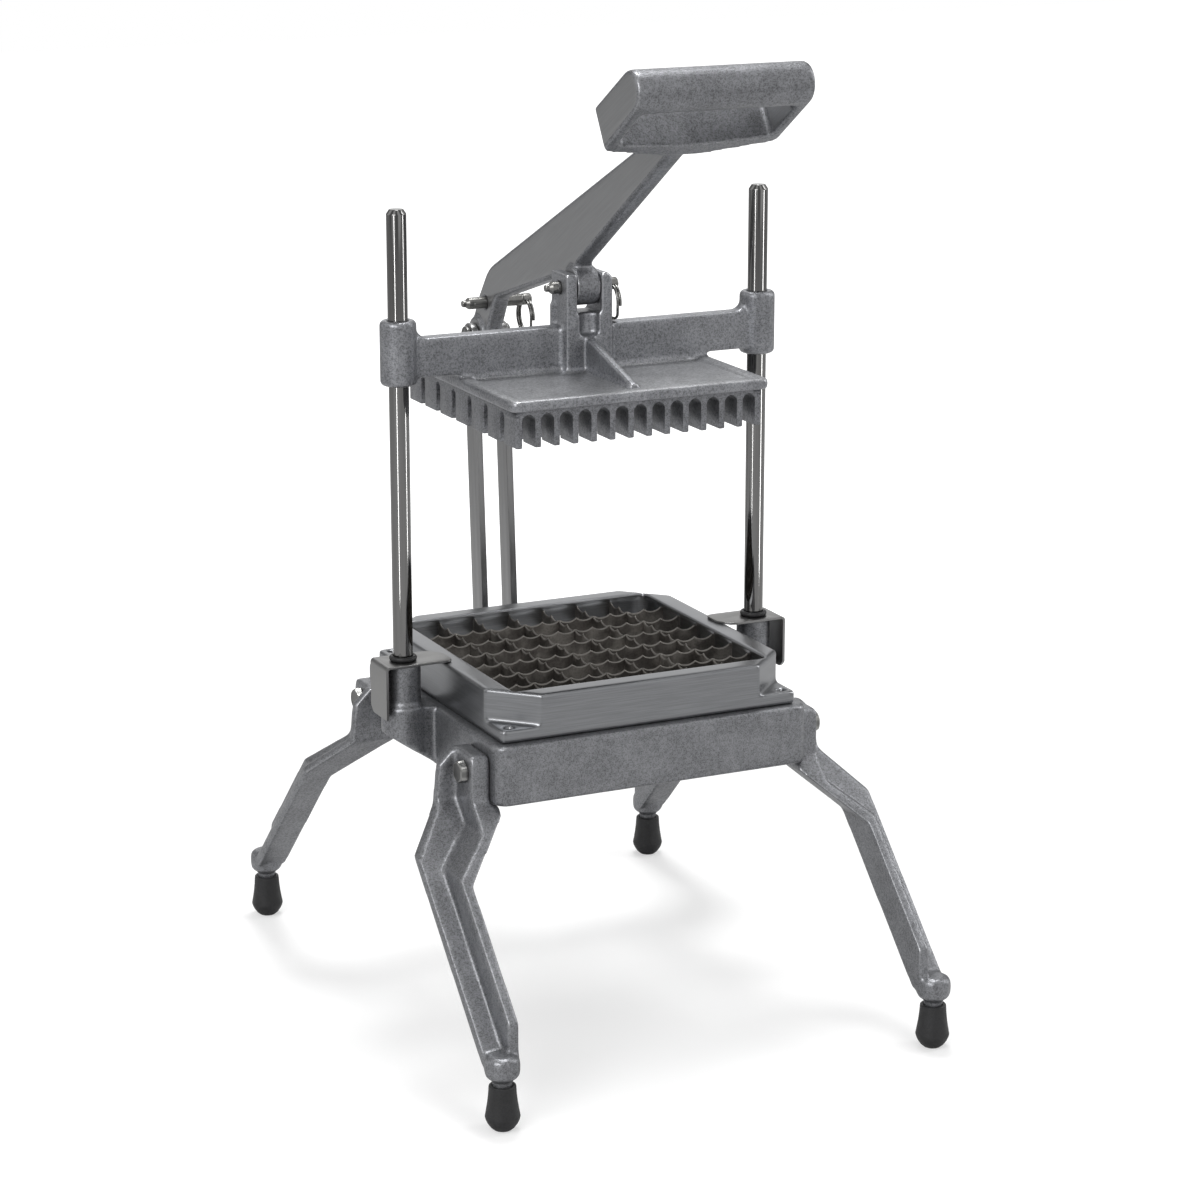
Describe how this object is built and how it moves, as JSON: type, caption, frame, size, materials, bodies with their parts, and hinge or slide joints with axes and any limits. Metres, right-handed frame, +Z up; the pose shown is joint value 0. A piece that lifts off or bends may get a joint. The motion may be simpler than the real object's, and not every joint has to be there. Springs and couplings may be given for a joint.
{
  "type": "lettuce cutter",
  "caption": "Hand lettuce cutter: a lever handle drives a finger plate down two guide rods through a scalloped blade grid over an open base on splayed legs with rubber feet.",
  "frame": {"origin": "on the floor, under the middle of the base, halfway between the four feet", "axes": "+X to the right along the crossbar and front edge, +Y to the back where the link is, +Z up along the guide rods"},
  "size_m": [0.323, 0.434, 0.6293],
  "materials": {
    "cast_aluminium": "fine speckled casting",
    "linished_aluminium": "linished flats, cast edges",
    "brushed_aluminium": "fine brushed, bright edges",
    "polished_steel": "polished",
    "satin_steel": "satin",
    "blade_steel": "dark, with lighter edges",
    "black_rubber": "matte"
  },
  "bodies": {
    "base": {"base_casting": "cast_aluminium", "leg_front_left": "cast_aluminium", "leg_bolt_front_left": "satin_steel", "foot_front_left": "black_rubber", "leg_front_right": "cast_aluminium", "leg_bolt_front_right": "satin_steel", "foot_front_right": "black_rubber", "leg_back_left": "cast_aluminium", "leg_bolt_back_left": "satin_steel", "foot_back_left": "black_rubber", "leg_back_right": "cast_aluminium", "leg_bolt_back_right": "satin_steel", "foot_back_right": "black_rubber", "guide_rod_left": "polished_steel", "o_ring_left": "black_rubber", "guide_rod_right": "polished_steel", "o_ring_right": "black_rubber", "link_bolt": "satin_steel", "blade_frame": "brushed_aluminium", "row_blade_1": "blade_steel", "row_blade_2": "blade_steel", "row_blade_3": "blade_steel", "row_blade_4": "blade_steel", "row_blade_5": "blade_steel", "row_blade_6": "blade_steel", "column_blade_1": "blade_steel", "column_blade_2": "blade_steel", "column_blade_3": "blade_steel", "column_blade_4": "blade_steel", "column_blade_5": "blade_steel", "column_blade_6": "blade_steel", "low_blade_1": "blade_steel", "low_blade_2": "blade_steel", "low_blade_3": "blade_steel", "low_blade_4": "blade_steel", "low_blade_5": "blade_steel", "low_blade_6": "blade_steel", "low_blade_7": "blade_steel"},
    "pusher": {"pusher_casting": "cast_aluminium"},
    "handle": {"handle_casting": "linished_aluminium"},
    "link": {"link_bar_left": "satin_steel", "link_bar_right": "satin_steel", "link_screw_left": "satin_steel", "link_screw_right": "satin_steel"},
    "clip_left": {"hold_down_clip_left": "satin_steel"},
    "clip_right": {"hold_down_clip_right": "satin_steel"},
    "clevis_pin": {"clevis_pin": "polished_steel"},
    "clevis_ring": {"clevis_ring": "polished_steel"},
    "stop_pin": {"stop_pin": "polished_steel"},
    "stop_ring": {"stop_ring": "polished_steel"}
  },
  "joints": [
    {"name": "pusher_slide", "type": "slide", "parent": "base", "child": "pusher", "axis": [0, 0, -1], "range_m": [0, 0.1755]},
    {"name": "handle_hinge", "type": "hinge", "parent": "pusher", "child": "handle", "pos_m": [0, 0, 0.4713], "axis": [1, 0, 0], "range_deg": [0, 66.08]},
    {"name": "link_hinge", "type": "hinge", "parent": "base", "child": "link", "pos_m": [0, 0.14, 0.19], "axis": [1, 0, 0], "range_deg": [0, 9.96]},
    {"name": "clip_left_hinge", "type": "hinge", "parent": "base", "child": "clip_left", "pos_m": [-0.127, 0, 0.2375], "axis": [0, 0, 1], "range_deg": [-90, 90]},
    {"name": "clip_right_hinge", "type": "hinge", "parent": "base", "child": "clip_right", "pos_m": [0.127, 0, 0.2375], "axis": [0, 0, 1], "range_deg": [-90, 90]},
    {"name": "clevis_pin_slide", "type": "slide", "parent": "pusher", "child": "clevis_pin", "axis": [1, 0, 0], "range_m": [0, 0.05]},
    {"name": "stop_pin_slide", "type": "slide", "parent": "handle", "child": "stop_pin", "axis": [1, 0, 0], "range_m": [0, 0.05]},
    {"name": "clevis_ring_hinge", "type": "hinge", "parent": "clevis_pin", "child": "clevis_ring", "pos_m": [0.021, 0, 0.4713], "axis": [0, -1, 0], "range_deg": [0, 90]},
    {"name": "stop_ring_hinge", "type": "hinge", "parent": "stop_pin", "child": "stop_ring", "pos_m": [0.024, 0.1413, 0.4383], "axis": [0, -1, 0], "range_deg": [0, 90]}
  ],
  "couplings": [
    {"joint": "handle_hinge", "follows": "pusher_slide", "rad_per_m": 6.5717},
    {"joint": "link_hinge", "follows": "pusher_slide", "rad_per_m": 0.99042}
  ]
}
